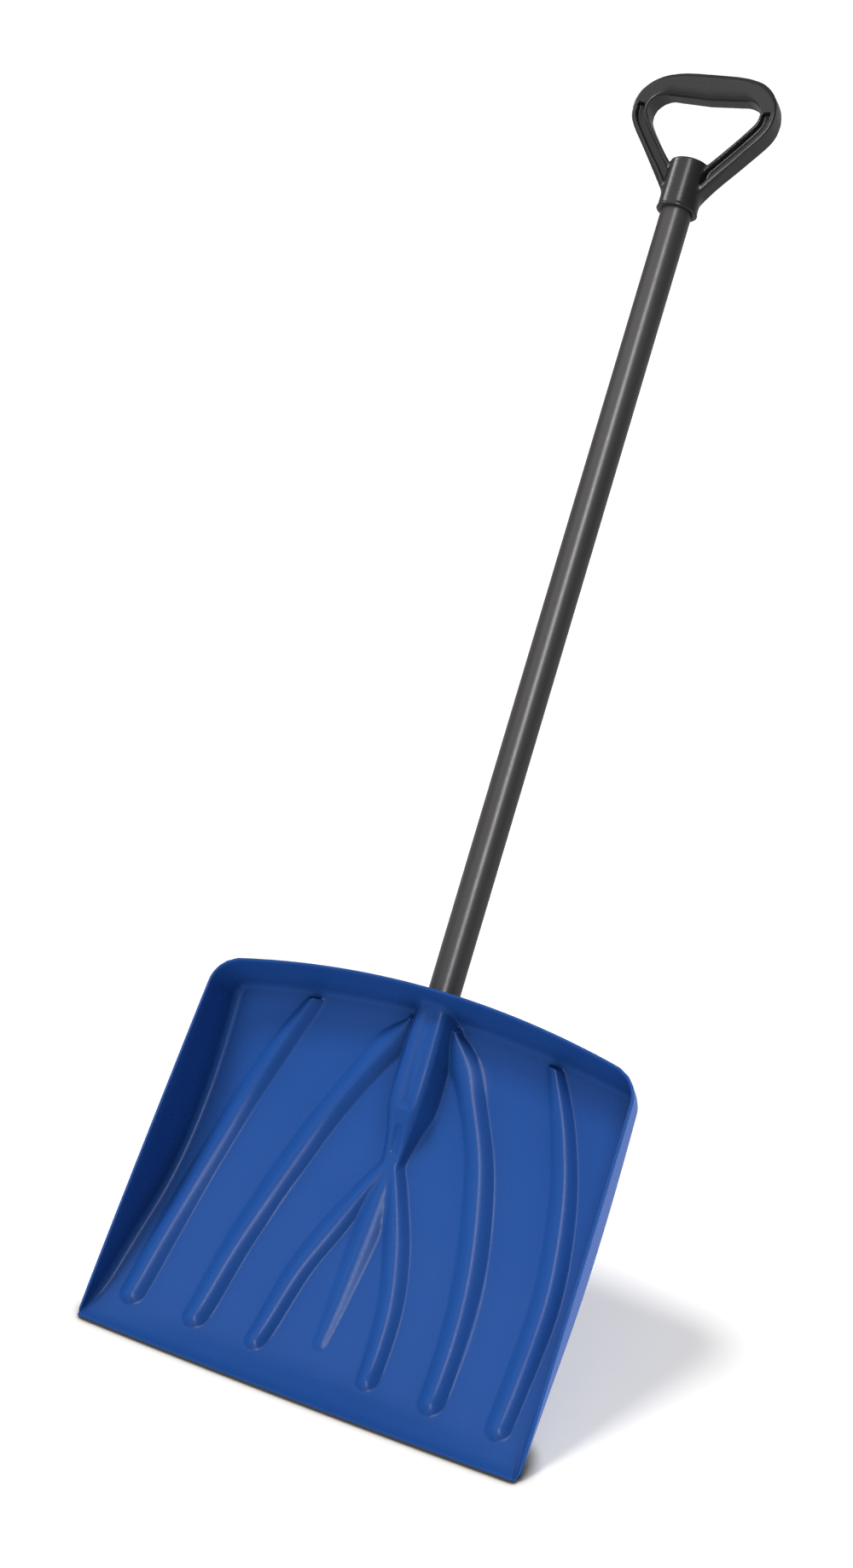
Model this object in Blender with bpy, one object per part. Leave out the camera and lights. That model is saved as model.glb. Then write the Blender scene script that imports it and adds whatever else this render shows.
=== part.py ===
"""Snow shovel: a ribbed plastic scoop, a straight resin-cased steel shaft and a plastic D-grip.

Metres, +Z up. The shovel stands in its working stance: the cutting edge lies on the floor
(z = 0) along X, 4 mm in front of the origin at its middle, the hollow of the scoop faces -Y and
the shaft leans back towards +Y. Everything is drawn in the shovel's own axes (x to the right, y to the
back, z up the shaft) under one empty that carries the lean.
"""
import math

import bmesh
import bpy
from mathutils import Vector

for old in list(bpy.data.objects):
    bpy.data.objects.remove(old, do_unlink=True)

# ---------------------------------------------------------------- driving dimensions
LEAN = math.radians(37.0)          # shaft away from upright
GAP = 0.0003                       # between neighbouring pieces

BLADE_HALF = 0.2286                # half of the 18 inch scoop, at the cutting edge
BLADE_TAPER = 0.020                # how much the sides close in per metre of height
BLADE_WALL = 0.0030                # thickness of the moulding
EDGE_LIP = 0.0015                  # height of the blunt cutting edge
EDGE_SET = 0.0040                  # the middle of the cutting edge in front of the origin
EDGE_BOW = 0.0027                  # corners of the cutting edge behind its middle
RIM_SLOPE = 0.122                  # the rim comes back this much per metre of height
RIM_TOP = 0.3824                   # height of the rim at the middle
RIM_ARCH = 0.565                   # fall of the arched rim, times x squared
RIM_CORNER = 0.022                 # radius of the two upper rim corners
CREASE_TOP = 0.3620                # where the panel meets the top flange, at the middle
CREASE_ARCH = 0.500                # fall of that line, times x squared
WALL_FLARE = 0.140                 # side walls open outwards this much per unit of depth
FILLET = 0.0080                    # between the panel and its walls
PANEL_CORNER = 0.0100              # radius of the panel's upper corners

SHAFT_Y = 0.0858                   # the shaft's axis behind the cutting edge
SHAFT_R = 0.0155                   # outside of the resin sleeve
SLEEVE_WALL = 0.0020
CORE_WALL = 0.0012
SHAFT_FROM = 0.2800
SHAFT_TO = 1.2290

SOCKET_R = 0.0188                  # front of the bulge that holds the shaft
SOCKET_BACK_R = 0.0180
SOCKET_SET = 0.0012                # its centre behind the shaft's axis
SOCKET_FROM = 0.2760
SOCKET_TO = 0.3840
BORE_R = SHAFT_R + GAP

RIB_HEIGHT = 0.0070

GRIP_FROM = 1.1832                 # lower rim of the collar
COLLAR_R = 0.0200
GRIP_SET = 0.0024                  # the D behind the shaft's axis
COLLAR_TO = 1.2345

SCREW_R = 0.0021
SCREW_HEAD_R = 0.0046
SCREW_HEAD_H = 0.0026

# (height, depth) of the panel's face at its sides and along its middle
SIDE_PROFILE = ((0.0012, -0.0009), (0.026, 0.0167), (0.079, 0.0410), (0.147, 0.0715),
                (0.217, 0.0860), (0.300, 0.0880), (0.390, 0.0810))
MIDDLE_PROFILE = ((0.0012, -0.0009), (0.026, 0.0275), (0.050, 0.0420), (0.112, 0.0610),
                  (0.179, 0.0775), (0.260, 0.0900), (0.390, 0.0870))

# ribs: (height, distance from the middle, half width); the last one is the middle rib
OUTER_RIB = ((0.037, 0.1902, 0.0132), (0.100, 0.1885, 0.0140), (0.150, 0.1849, 0.0140),
             (0.200, 0.1762, 0.0146), (0.250, 0.1645, 0.0145), (0.300, 0.1474, 0.0142),
             (0.346, 0.1275, 0.0125))
SECOND_RIB = ((0.037, 0.1231, 0.0132), (0.100, 0.1178, 0.0140), (0.150, 0.1089, 0.0150),
              (0.200, 0.0951, 0.0160), (0.250, 0.0784, 0.0158), (0.300, 0.0543, 0.0165),
              (0.352, 0.0200, 0.0165))
INNER_RIB = ((0.036, 0.0581, 0.0114), (0.100, 0.0494, 0.0132), (0.150, 0.0335, 0.0145),
             (0.200, 0.0120, 0.0125), (0.220, 0.0020, 0.0115))
MIDDLE_RIB = ((0.050, 0.0, 0.0085), (0.100, 0.0, 0.0122), (0.173, 0.0, 0.0155),
              (0.222, 0.0, 0.0125))

# socket bulge: (height, raise above the panel, half width)
BULGE = ((0.216, 0.0070, 0.0120), (0.240, 0.0118, 0.0160), (0.256, 0.0168, 0.0200),
         (0.275, 0.0222, 0.0255), (0.320, 0.0216, 0.0258), (0.380, 0.0197, 0.0235))

# D-grip frame, right half, from the collar to the middle of the bar:
# (x, height, width in the plane, depth, depth of the channel)
GRIP_PATH = ((0.0080, 1.1994, 0.0158, 0.0224, 0.0060), (0.0230, 1.2218, 0.0184, 0.0228, 0.0060),
             (0.0438, 1.2483, 0.0160, 0.0236, 0.0060), (0.0610, 1.2711, 0.0160, 0.0244, 0.0060),
             (0.0657, 1.2800, 0.0158, 0.0246, 0.0060), (0.0669, 1.2890, 0.0158, 0.0248, 0.0055),
             (0.0665, 1.2935, 0.0160, 0.0250, 0.0000), (0.0636, 1.3018, 0.0174, 0.0252, 0.0),
             (0.0560, 1.3104, 0.0202, 0.0254, 0.0), (0.0448, 1.3164, 0.0248, 0.0256, 0.0),
             (0.0300, 1.3181, 0.0284, 0.0256, 0.0), (0.0, 1.3178, 0.0304, 0.0256, 0.0))


# ---------------------------------------------------------------- helpers
def curve(points, t, column=1):
    """Smooth curve through (t, value, ...) rows, flat outside its ends."""
    if t <= points[0][0]:
        return points[0][column]
    if t >= points[-1][0]:
        return points[-1][column]
    last = len(points) - 2
    k = 0
    while k < last and points[k + 1][0] < t:
        k += 1
    width = points[k + 1][0] - points[k][0]
    rise = points[k + 1][column] - points[k][column]
    before = rise / width
    after = rise / width
    if k > 0:
        before = (points[k + 1][column] - points[k - 1][column]) / (points[k + 1][0] - points[k - 1][0])
    if k < last:
        after = (points[k + 2][column] - points[k][column]) / (points[k + 2][0] - points[k][0])
    u = (t - points[k][0]) / width
    a = 2 * u ** 3 - 3 * u ** 2 + 1
    b = u ** 3 - 2 * u ** 2 + u
    c = u ** 3 - u ** 2
    return a * points[k][column] + b * width * before + (1 - a) * points[k + 1][column] + c * width * after


def material(name, colour, roughness, metallic=0.0):
    made = bpy.data.materials.new(name)
    made.use_nodes = True
    node = made.node_tree.nodes["Principled BSDF"]
    node.inputs["Base Color"].default_value = (*colour, 1.0)
    node.inputs["Roughness"].default_value = roughness
    node.inputs["Metallic"].default_value = metallic
    return made


def add_object(name, bm, slot, parent, sharp=35.0):
    bmesh.ops.recalc_face_normals(bm, faces=bm.faces)
    mesh = bpy.data.meshes.new(name)
    bm.to_mesh(mesh)
    bm.free()
    made = bpy.data.objects.new(name, mesh)
    bpy.context.scene.collection.objects.link(made)
    made.parent = parent
    if slot is not None:
        mesh.materials.append(slot)
    mesh.shade_smooth()
    mesh.set_sharp_from_angle(angle=math.radians(sharp))
    return made


def revolve(profile, segments, turn=0.0):
    """Closed ring or solid of revolution about Z from (radius, height) points."""
    bm = bmesh.new()
    rings = []
    for radius, height in profile:
        if radius < 1e-9:
            rings.append([bm.verts.new((0.0, 0.0, height))])
            continue
        ring = []
        for k in range(segments):
            angle = 2 * math.pi * (k + turn) / segments
            ring.append(bm.verts.new((radius * math.cos(angle), radius * math.sin(angle), height)))
        rings.append(ring)
    closed = profile[0][0] > 1e-9
    count = len(rings) if closed else len(rings) - 1
    for r in range(count):
        low = rings[r]
        high = rings[(r + 1) % len(rings)]
        for k in range(segments):
            n = (k + 1) % segments
            if len(low) == 1:
                bm.faces.new((low[0], high[n], high[k]))
            elif len(high) == 1:
                bm.faces.new((low[k], low[n], high[0]))
            else:
                bm.faces.new((low[k], low[n], high[n], high[k]))
    return bm


def helper(name, bm, parent):
    """Body used only by a Boolean modifier."""
    made = add_object(name, bm, None, parent)
    made.hide_render = True
    made.display_type = "WIRE"
    return made


def boolean(target, tool, operation):
    step = target.modifiers.new(tool.name, "BOOLEAN")
    step.operation = operation
    step.solver = "EXACT"
    step.object = tool


# ---------------------------------------------------------------- shape of the scoop
def to_floor(y, z):
    """Depth and height above the floor of a point given in the shovel's axes."""
    return y * math.cos(LEAN) + z * math.sin(LEAN), z * math.cos(LEAN) - y * math.sin(LEAN)


def from_floor(depth, height):
    return depth * math.cos(LEAN) - height * math.sin(LEAN), depth * math.sin(LEAN) + height * math.cos(LEAN)


def rib_raise(x, z, table, height):
    """Raise of one rib: a rounded ridge with straight flanks and a domed lower end."""
    low = table[0][0]
    high = table[-1][0]
    centre = curve(table, z, 1)
    half = curve(table, z, 2)
    along = 0.0
    if z < low:
        along = low - z
    if z > high:
        along = z - high
    t = math.hypot(x - centre, along) / half
    crown = 0.30
    ridge = (math.sqrt(t * t + crown * crown) - crown) / (math.sqrt(1 + crown * crown) - crown)
    return height * max(0.0, 1.0 - ridge)


def bulge_raise(x, z):
    """Raise of the socket bulge: round in front, with straight flanks down to the panel."""
    if z < BULGE[0][0] - 0.010:
        return 0.0
    t = abs(x) / curve(BULGE, z, 2)
    flank = 0.665
    sink = 0.0030
    wide = 0.0245
    if t < flank:
        shape = (math.sqrt(SOCKET_R ** 2 - (t * wide) ** 2) + sink) / (SOCKET_R + sink)
    else:
        start = (math.sqrt(SOCKET_R ** 2 - (flank * wide) ** 2) + sink) / (SOCKET_R + sink)
        shape = start * max(0.0, 1.0 - t) / (1.0 - flank)
    return curve(BULGE, z, 1) * shape


def panel_depth(x, z):
    """Depth of the scoop's face, without ribs."""
    side = curve(SIDE_PROFILE, z)
    middle = curve(MIDDLE_PROFILE, z)
    return side + (middle - side) * (1.0 - (x / BLADE_HALF) ** 2)


def face_depth(x, z):
    """Depth of the scoop's face with its seven ribs and the socket bulge."""
    side = abs(x)
    raised = rib_raise(side, z, OUTER_RIB, RIB_HEIGHT)
    raised = max(raised, rib_raise(side, z, SECOND_RIB, RIB_HEIGHT + 0.001))
    raised = max(raised, rib_raise(side, z, INNER_RIB, RIB_HEIGHT))
    raised = max(raised, rib_raise(side, z, MIDDLE_RIB, curve(((0.045, 0.003), (0.173, 0.007)), z)))
    raised = max(raised, bulge_raise(side, z))
    return panel_depth(x, z) - raised


def half_width(z):
    return BLADE_HALF - BLADE_WALL - BLADE_TAPER * z


def rounding(beyond):
    """How far a corner of the panel is drawn in, up to its diagonal."""
    s = min(max(0.0, beyond), PANEL_CORNER * math.sqrt(0.5))
    return PANEL_CORNER - math.sqrt(PANEL_CORNER ** 2 - s * s)


def crease_half(z):
    """Half width of the panel, where the side walls start."""
    wall = curve(SIDE_PROFILE, z) - RIM_SLOPE * z
    corner = CREASE_TOP - CREASE_ARCH * 0.213 ** 2
    return half_width(z) - 0.0016 - WALL_FLARE * max(0.0, wall) - rounding(z - corner + PANEL_CORNER)


def crease_height(x):
    return CREASE_TOP - CREASE_ARCH * x * x - rounding(x - 0.213 + PANEL_CORNER)


def rim_height(x):
    return RIM_TOP - RIM_ARCH * x * x


def rib_edge(table, sign):
    return [(row[0], row[1] + sign * row[2]) for row in table]


# lines that run up the right half of the panel along its ribs: (height, distance)
COLUMN_LINES = (
    ((0.0, 0.0), (1.0, 0.0)),
    ((0.045, 0.0080), (0.173, 0.0150), (0.222, 0.0070), (0.290, 0.0105)),
    ((0.036, 0.0467), (0.100, 0.0362), (0.150, 0.0200), (0.180, 0.0165), (0.222, 0.0085), (0.290, 0.0165)),
    ((0.036, 0.0581), (0.100, 0.0494), (0.150, 0.0335), (0.190, 0.0195), (0.222, 0.0105), (0.290, 0.0215)),
    ((0.036, 0.0695), (0.100, 0.0626), (0.150, 0.0490), (0.200, 0.0270), (0.225, 0.0145), (0.280, 0.0262),
     (0.364, 0.0240)),
    ((0.037, 0.1099), (0.150, 0.0939), (0.200, 0.0791), (0.250, 0.0626), (0.300, 0.0378), (0.330, 0.0295),
     (0.364, 0.0280)),
    ((0.037, 0.1231), (0.150, 0.1089), (0.200, 0.0951), (0.250, 0.0784), (0.300, 0.0543), (0.335, 0.0385),
     (0.364, 0.0330)),
    ((0.037, 0.1363), (0.150, 0.1239), (0.200, 0.1111), (0.250, 0.0942), (0.300, 0.0708), (0.340, 0.0480),
     (0.364, 0.0390)),
    rib_edge(OUTER_RIB, -1),
    rib_edge(OUTER_RIB, 0),
    rib_edge(OUTER_RIB, 1),
)
COLUMN_STEPS = (2, 1, 2, 2, 3, 2, 2, 3, 2, 2, 2)

# heights of the rows up the middle of the panel
ROW_HEIGHTS = (0.0012, 0.0040, 0.0120, 0.0220, 0.0270, 0.0320, 0.0390, 0.0520, 0.0700, 0.0880, 0.1060,
               0.1240, 0.1420, 0.1600, 0.1780, 0.1960, 0.2120, 0.2240, 0.2380, 0.2520, 0.2660, 0.2800,
               0.2960, 0.3120, 0.3270, 0.3400, 0.3520, CREASE_TOP)
WALL_SHARES = (0.0, 0.18, 0.60, 1.0)


def panel_columns(z):
    """Distances of the panel's columns from the middle at one height, middle first."""
    anchors = [curve(line, z) for line in COLUMN_LINES]
    anchors.append(crease_half(z * crease_height(0.213) / CREASE_TOP))
    out = [0.0]
    for k, count in enumerate(COLUMN_STEPS):
        for n in range(1, count + 1):
            out.append(anchors[k] + (anchors[k + 1] - anchors[k]) * n / count)
    return out


LAST_COLUMN = sum(COLUMN_STEPS)
LAST_ROW = len(ROW_HEIGHTS) - 1
WALL_STEPS = len(WALL_SHARES) - 1


def panel_point(col, row):
    share = (ROW_HEIGHTS[row] - ROW_HEIGHTS[0]) / (CREASE_TOP - ROW_HEIGHTS[0])
    x = panel_columns(ROW_HEIGHTS[row])[col]
    low = ROW_HEIGHTS[0]
    z = low + (crease_height(x) - low) * share
    y = face_depth(x, z)
    bow = EDGE_BOW * (x / BLADE_HALF) ** 2 * (1.0 - share) ** 3
    return Vector((x, y + bow * math.cos(LEAN), z + bow * math.sin(LEAN)))


def corner_rim(share):
    """Point on the rounded upper corner of the rim, from its side (0) to its top (1)."""
    x = half_width(0.350)
    top = rim_height(x)
    start = Vector((x, 0.0, top - RIM_CORNER))
    middle = Vector((x, 0.0, top))
    end = Vector((x - RIM_CORNER, 0.0, rim_height(x - RIM_CORNER)))
    weight = 0.74
    a = (1.0 - share) ** 2
    b = 2.0 * weight * share * (1.0 - share)
    c = share ** 2
    point = (start * a + middle * b + end * c) / (a + b + c)
    point.y = RIM_SLOPE * point.z
    return point


def side_rim(row, crease):
    """Rim point beside a row of the panel."""
    share = (row / LAST_ROW) ** 8
    z = crease.z + (corner_rim(0.0).z - panel_point(LAST_COLUMN, LAST_ROW).z) * share
    x = half_width(z) + (corner_rim(0.0).x - half_width(corner_rim(0.0).z)) * share
    return Vector((x, RIM_SLOPE * z, z))


def top_rim(crease):
    """Rim point above a column of the panel."""
    last = panel_point(LAST_COLUMN, LAST_ROW).x
    x = crease.x + (corner_rim(1.0).x - last) * (crease.x / last) ** 4
    z = rim_height(x)
    return Vector((x, RIM_SLOPE * z, z))


def scoop_point(col, row):
    """Point of the scoop's face; columns and rows past the panel climb the walls."""
    side = abs(col)
    crease = panel_point(min(side, LAST_COLUMN), min(row, LAST_ROW))
    out = max(0, side - LAST_COLUMN)
    up = max(0, row - LAST_ROW)
    if side >= LAST_COLUMN:
        wall = max(0.0, crease.y - RIM_SLOPE * crease.z)
        ease = min(0.2 * FILLET, 0.1 * wall)
        if out == 0:
            crease.x -= ease
            crease.y -= ease
    if row >= LAST_ROW and out == 0 and up == 0:
        crease.y -= 0.2 * FILLET
        crease.z -= 0.2 * FILLET
    point = crease
    if out > 0 or up > 0:
        if out >= up:
            rim = side_rim(row, crease) if up == 0 else corner_rim(0.5 * up / out)
            share = WALL_SHARES[out]
        else:
            rim = top_rim(crease) if out == 0 else corner_rim(1.0 - 0.5 * out / up)
            share = WALL_SHARES[up]
        point = crease.lerp(rim, share)
        if up > 0 and point.x < SOCKET_R * 0.8:
            front = SHAFT_Y - math.sqrt(SOCKET_R ** 2 - point.x ** 2)
            point.y = min(point.y, front)
    return Vector((point.x if col >= 0 else -point.x, point.y, point.z))


def scoop_shell():
    """Closed sheet: the face, its back one wall thickness behind, and the edges between."""
    bm = bmesh.new()
    wide = LAST_COLUMN + WALL_STEPS
    high = LAST_ROW + WALL_STEPS
    face = {}
    for col in range(-wide, wide + 1):
        for row in range(high + 1):
            face[col, row] = bm.verts.new(scoop_point(col, row))
    for col in range(-wide, wide):
        for row in range(high):
            bm.faces.new((face[col, row], face[col + 1, row], face[col + 1, row + 1], face[col, row + 1]))
    bm.normal_update()
    back = {}
    for key, vert in face.items():
        spread = min(vert.normal.dot(near.normal) for near in vert.link_faces)
        place = vert.co - vert.normal * BLADE_WALL / max(spread, 0.75)
        depth, height = to_floor(place.y, place.z)
        if key[1] == 0:
            depth, height = to_floor(vert.co.y, vert.co.z)
            height = 0.0
        if height < 0.0 or key[1] == 0:
            y, z = from_floor(depth, max(height, 0.0))
            place = Vector((place.x if key[1] else vert.co.x, y, z))
        back[key] = bm.verts.new(place)
    for col in range(-wide, wide):
        for row in range(high):
            bm.faces.new((back[col, row], back[col, row + 1], back[col + 1, row + 1], back[col + 1, row]))
        bm.faces.new((face[col, 0], back[col, 0], back[col + 1, 0], face[col + 1, 0]))
        bm.faces.new((face[col, high], face[col + 1, high], back[col + 1, high], back[col, high]))
    for row in range(high):
        bm.faces.new((face[-wide, row], face[-wide, row + 1], back[-wide, row + 1], back[-wide, row]))
        bm.faces.new((face[wide, row], back[wide, row], back[wide, row + 1], face[wide, row + 1]))
    return bm


# ---------------------------------------------------------------- shape of the D-grip
def grip_section(width, depth, channel, corner):
    """Outline of the frame's section: (towards the outside of the D, towards the back)."""
    w = width / 2
    d = depth / 2
    slot = 0.0042
    soft = corner * (1 - math.sqrt(0.5))
    front = [(w, -d + corner), (w - soft, -d + soft), (w - corner, -d), (slot, -d),
             (slot - 0.0006, -d + channel), (-slot + 0.0006, -d + channel), (-slot, -d),
             (-w + corner, -d), (-w + soft, -d + soft), (-w, -d + corner)]
    return front + [(-a, -b) for a, b in front]


def grip_frame():
    """Sweep of the frame from one arm's root over the bar to the other."""
    lengths = [0.0]
    for near, far in zip(GRIP_PATH, GRIP_PATH[1:]):
        lengths.append(lengths[-1] + math.hypot(far[0] - near[0], far[1] - near[1]))
    rows = [(lengths[k], *GRIP_PATH[k]) for k in range(len(GRIP_PATH))]
    stations = []
    for k in range(len(rows) - 1):
        parts = 1 if k in (1, 5) else 2
        for n in range(parts):
            stations.append(rows[k][0] + (rows[k + 1][0] - rows[k][0]) * n / parts)
    stations.append(rows[-1][0])

    def centre(t):
        return Vector((curve(rows, t, 1), 0.0, curve(rows, t, 2)))

    half = []
    for t in stations:
        step = 0.0005
        heading = centre(min(t + step, rows[-1][0])) - centre(max(t - step, 0.0))
        if t == rows[-1][0]:
            heading = Vector((-1.0, 0.0, 0.0))
        heading.normalize()
        outward = Vector((heading.z, 0.0, -heading.x))
        share = min(1.0, max(0.0, (curve(rows, t, 3) - 0.0160) / 0.0080))
        channel = max(0.0, curve(rows, t, 5))
        ring = []
        for a, b in grip_section(curve(rows, t, 3), curve(rows, t, 4), channel, 0.0026 + 0.0050 * share):
            point = centre(t) + outward * a
            ring.append(Vector((point.x, SHAFT_Y + GRIP_SET + b, point.z)))
        half.append(ring)
    bm = bmesh.new()
    rings = []
    for ring in half:
        rings.append([bm.verts.new(point) for point in ring])
    for ring in reversed(half[:-1]):
        rings.append([bm.verts.new((-point.x, point.y, point.z)) for point in ring])
    count = len(rings[0])
    for low, high in zip(rings, rings[1:]):
        for k in range(count):
            n = (k + 1) % count
            bm.faces.new((low[k], low[n], high[n], high[k]))
    bm.faces.new(rings[0])
    bm.faces.new(list(reversed(rings[-1])))
    return bm


# ---------------------------------------------------------------- materials
BLUE = material("blue_plastic", (0.027, 0.095, 0.340), 0.38)
SLEEVE = material("sleeve_resin", (0.060, 0.057, 0.056), 0.42)
STEEL = material("core_steel", (0.56, 0.56, 0.57), 0.34, 1.0)
BLACK = material("grip_plastic", (0.022, 0.021, 0.020), 0.32)
ZINC = material("screw_zinc", (0.62, 0.62, 0.60), 0.30, 1.0)

# ---------------------------------------------------------------- assembly
shovel = bpy.data.objects.new("snow_shovel", None)
bpy.context.scene.collection.objects.link(shovel)
shovel.rotation_euler = (-LEAN, 0.0, 0.0)
shovel.location = (0.0, -EDGE_SET, 0.0)


def screw(name, height, face):
    """Pan-head screw from the back, with the clearance hole its shank needs."""
    seat = face + GAP
    profile = [(0.0, -0.0120), (SCREW_R * 0.5, -0.0115), (SCREW_R, -0.0095), (SCREW_R, 0.0),
               (SCREW_HEAD_R, 0.0), (SCREW_HEAD_R, SCREW_HEAD_H * 0.45),
               (SCREW_HEAD_R * 0.78, SCREW_HEAD_H * 0.88), (SCREW_HEAD_R * 0.40, SCREW_HEAD_H),
               (0.0, SCREW_HEAD_H)]
    made = add_object(name, revolve(profile, 24), ZINC, shovel)
    made.location = (0.0, seat, height)
    made.rotation_euler = (-math.pi / 2, 0.0, 0.0)
    hole = helper(name + "_hole", revolve([(0.0, -0.0127), (SCREW_R + GAP, -0.0127),
                                           (SCREW_R + GAP, 0.0041), (0.0, 0.0041)], 20, 0.37), shovel)
    hole.location = made.location
    hole.rotation_euler = made.rotation_euler
    return hole


upper_hole = screw("blade_screw_upper", 0.3500, SHAFT_Y + SOCKET_SET + SOCKET_BACK_R)
lower_hole = screw("blade_screw_lower", 0.3000, SHAFT_Y + SOCKET_SET + SOCKET_BACK_R)
grip_hole = screw("grip_screw", 1.2030, SHAFT_Y + COLLAR_R)

blade = add_object("blade", scoop_shell(), BLUE, shovel, 40.0)
socket = helper("socket_body", revolve([(0.0, SOCKET_FROM), (SOCKET_BACK_R, SOCKET_FROM),
                                        (SOCKET_BACK_R, SOCKET_TO), (0.0, SOCKET_TO)], 40), shovel)
socket.location = (0.0, SHAFT_Y + SOCKET_SET, 0.0)
bore = helper("socket_bore", revolve([(0.0, SHAFT_FROM - GAP), (BORE_R, SHAFT_FROM - GAP),
                                      (BORE_R, SOCKET_TO + 0.010), (0.0, SOCKET_TO + 0.010)], 40), shovel)
bore.location = (0.0, SHAFT_Y, 0.0)
boolean(bore, upper_hole, "UNION")
boolean(bore, lower_hole, "UNION")
boolean(blade, socket, "UNION")
boolean(blade, bore, "DIFFERENCE")


def tube(name, outer, inner, low, high, slot):
    made = add_object(name, revolve([(inner, low), (outer, low), (outer, high), (inner, high)], 40),
                      slot, shovel)
    made.location = (0.0, SHAFT_Y, 0.0)
    for hole in (upper_hole, lower_hole, grip_hole):
        boolean(made, hole, "DIFFERENCE")
    return made


sleeve_inner = SHAFT_R - SLEEVE_WALL
core_outer = sleeve_inner - GAP
tube("shaft_sleeve", SHAFT_R, sleeve_inner, SHAFT_FROM, SHAFT_TO, SLEEVE)
tube("shaft_core", core_outer, core_outer - CORE_WALL, SHAFT_FROM, SHAFT_TO, STEEL)

grip = add_object("grip", grip_frame(), BLACK, shovel, 40.0)
collar = helper("grip_collar", revolve([(0.0, GRIP_FROM), (COLLAR_R, GRIP_FROM),
                                        (COLLAR_R + 0.0006, GRIP_FROM + 0.0009),
                                        (COLLAR_R + 0.0006, GRIP_FROM + 0.0032),
                                        (COLLAR_R, GRIP_FROM + 0.0048), (COLLAR_R, COLLAR_TO - 0.0025),
                                        (COLLAR_R - 0.0008, COLLAR_TO - 0.0008),
                                        (COLLAR_R - 0.0028, COLLAR_TO), (0.0, COLLAR_TO)], 40), shovel)
collar.location = (0.0, SHAFT_Y, 0.0)
grip_bore = helper("grip_bore", revolve([(0.0, GRIP_FROM - 0.010), (BORE_R, GRIP_FROM - 0.010),
                                         (BORE_R, SHAFT_TO + GAP), (0.0, SHAFT_TO + GAP)], 40), shovel)
grip_bore.location = (0.0, SHAFT_Y, 0.0)
boolean(grip_bore, grip_hole, "UNION")
boolean(grip, collar, "UNION")
boolean(grip, grip_bore, "DIFFERENCE")
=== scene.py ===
"""Snow shovel: the finished look of the ribbed scoop, the shaft, the D-grip and the screws.

Shapes are drawn in the shovel's own axes, as in the CAD: x to the right, y to the back and z up
the shaft, in metres. place() leans them back into the working stance, with the cutting edge on
the floor.
"""
import math

import bpy
import numpy as np
from mathutils import Matrix, Vector


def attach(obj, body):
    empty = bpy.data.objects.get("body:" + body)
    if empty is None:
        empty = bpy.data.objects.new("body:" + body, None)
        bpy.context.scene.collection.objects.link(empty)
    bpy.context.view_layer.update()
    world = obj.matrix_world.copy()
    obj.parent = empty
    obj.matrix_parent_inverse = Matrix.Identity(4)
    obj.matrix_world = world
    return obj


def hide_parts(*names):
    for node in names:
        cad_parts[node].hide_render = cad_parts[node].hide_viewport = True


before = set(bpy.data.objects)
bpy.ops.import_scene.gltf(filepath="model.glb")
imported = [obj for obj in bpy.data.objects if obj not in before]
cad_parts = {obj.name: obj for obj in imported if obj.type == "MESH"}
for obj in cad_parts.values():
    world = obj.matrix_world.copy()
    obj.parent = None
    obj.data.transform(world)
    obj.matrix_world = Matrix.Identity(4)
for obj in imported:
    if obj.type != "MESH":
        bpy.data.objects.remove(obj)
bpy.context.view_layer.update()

# ---------------------------------------------------------------- driving dimensions
LEAN = math.radians(37.0)          # shaft away from upright
EDGE_SET = 0.0040                  # the cutting edge in front of the origin

BLADE_HALF = 0.2286                # half width of the scoop at the cutting edge
BLADE_TAPER = 0.020                # how much the sides close in per metre of height
BLADE_WALL = 0.0030                # thickness of the moulding
EDGE_LIP = 0.0012                  # height of the panel's first row
EDGE_BOW = 0.0027                  # corners of the cutting edge behind its middle
RIM_SLOPE = 0.122                  # the rim comes back this much per metre of height
RIM_TOP = 0.3824                   # height of the rim at the middle
RIM_ARCH = 0.565                   # fall of the arched rim, times x squared
RIM_CORNER = 0.022                 # reach of the two upper rim corners
RIM_CORNER_WEIGHT = 0.74           # how far each of them bulges; 0.71 would be an arc
RIM_CORNER_AT = (0.2155, 0.3513)   # (x, height) where its bend is sharpest
RIM_CORNER_REACH = 0.030           # walls fan out over this much beside a corner
RIM_SIDE_TOP = 0.350               # height of the rim's upper corners
RIM_SET = 0.0016                   # a side wall's foot is at least this much inside the rim
LIP_RISE = 0.0022                  # the worn cutting edge stands this far off the floor
LIP_REACH = 0.014                  # and comes down to it over this depth
LIP_BELOW = 0.020                  # only what is lower than this is worn
CREASE_TOP = 0.3620                # where the panel meets the top flange, at the middle
CREASE_ARCH = 0.500                # fall of that line, times x squared
PANEL_SIDE = 0.213                 # half width of the panel at its upper corners
PANEL_CORNER = 0.0120              # radius of those corners
WALL_FLARE = 0.140                 # side walls open outwards this much per unit of depth
FILLET = 0.0080                    # between the panel and its walls
FILLET_SHARE = 0.45                # of a low wall, at most, that its fillet takes
FILLET_LEAST = 0.0003              # width of the fillet's strip where the wall ends

SHAFT_Y = 0.0858                   # the shaft's axis behind the cutting edge
SHAFT_R = 0.0155
SHAFT_WALL = 0.0020
SHAFT_CHAMFER = 0.0004             # at both ends of the resin casing
SHAFT_FROM = 0.2800
SHAFT_TO = 1.2290
BORE_R = 0.0158

SOCKET_R = 0.0180
SOCKET_SET = 0.0012                # its centre behind the shaft's axis
SOCKET_FROM = 0.2760
SOCKET_TO = 0.3840
SOCKET_FLOOR = 0.0030              # thickness of its lower end
AXIS_GAP = 0.0001                  # pinhole on the axis, which keeps the revolved faces four-sided

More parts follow.
